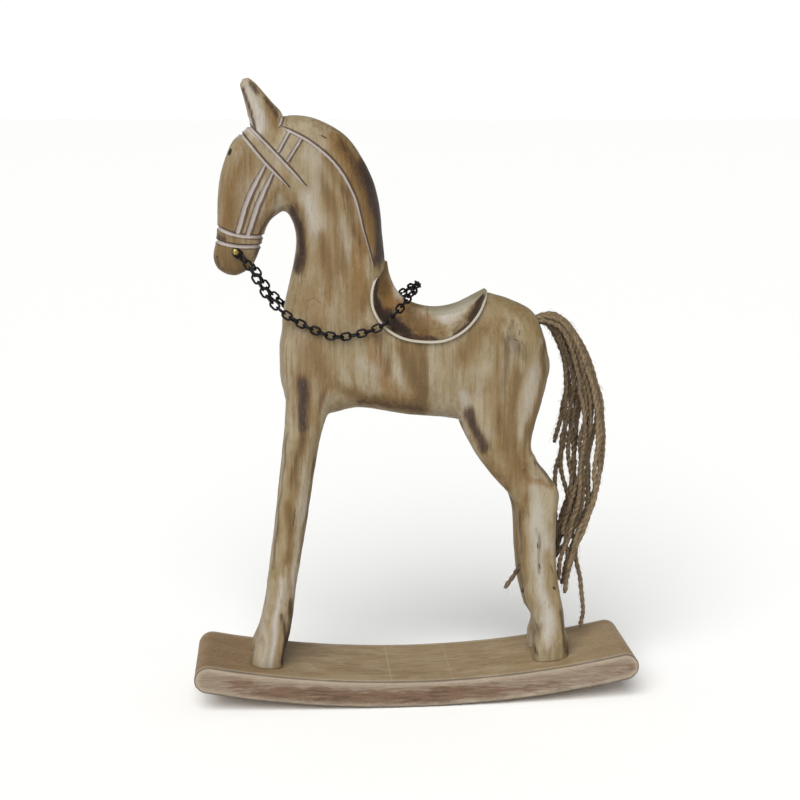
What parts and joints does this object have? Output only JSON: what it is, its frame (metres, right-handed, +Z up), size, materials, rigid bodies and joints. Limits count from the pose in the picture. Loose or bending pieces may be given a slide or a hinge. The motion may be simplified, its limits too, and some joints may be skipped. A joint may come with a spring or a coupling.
{
  "type": "rocking horse figurine",
  "caption": "Carved wooden rocking horse figurine on a curved rocker board, with a saddle, a chain rein and a tail of jute strands.",
  "frame": {"origin": "middle of the rocker board's underside, at its lowest face", "axes": "+X from the horse's head to its tail, +Y to the horse's right, +Z up"},
  "size_m": [0.2996, 0.068, 0.4142],
  "materials": {
    "carved_wood": "stained and rubbed with pale wash",
    "board_wood": "stained, with burnt edges",
    "nail_brass": "dulled",
    "chain_steel": "blackened",
    "tail_jute": "twisted jute twine"
  },
  "bodies": {
    "root": {"rocker": "board_wood", "horse": "carved_wood", "rein_nail_near": "nail_brass", "rein_nail_far": "nail_brass", "rein_chain": "chain_steel", "tail": "tail_jute"}
  },
  "joints": []
}
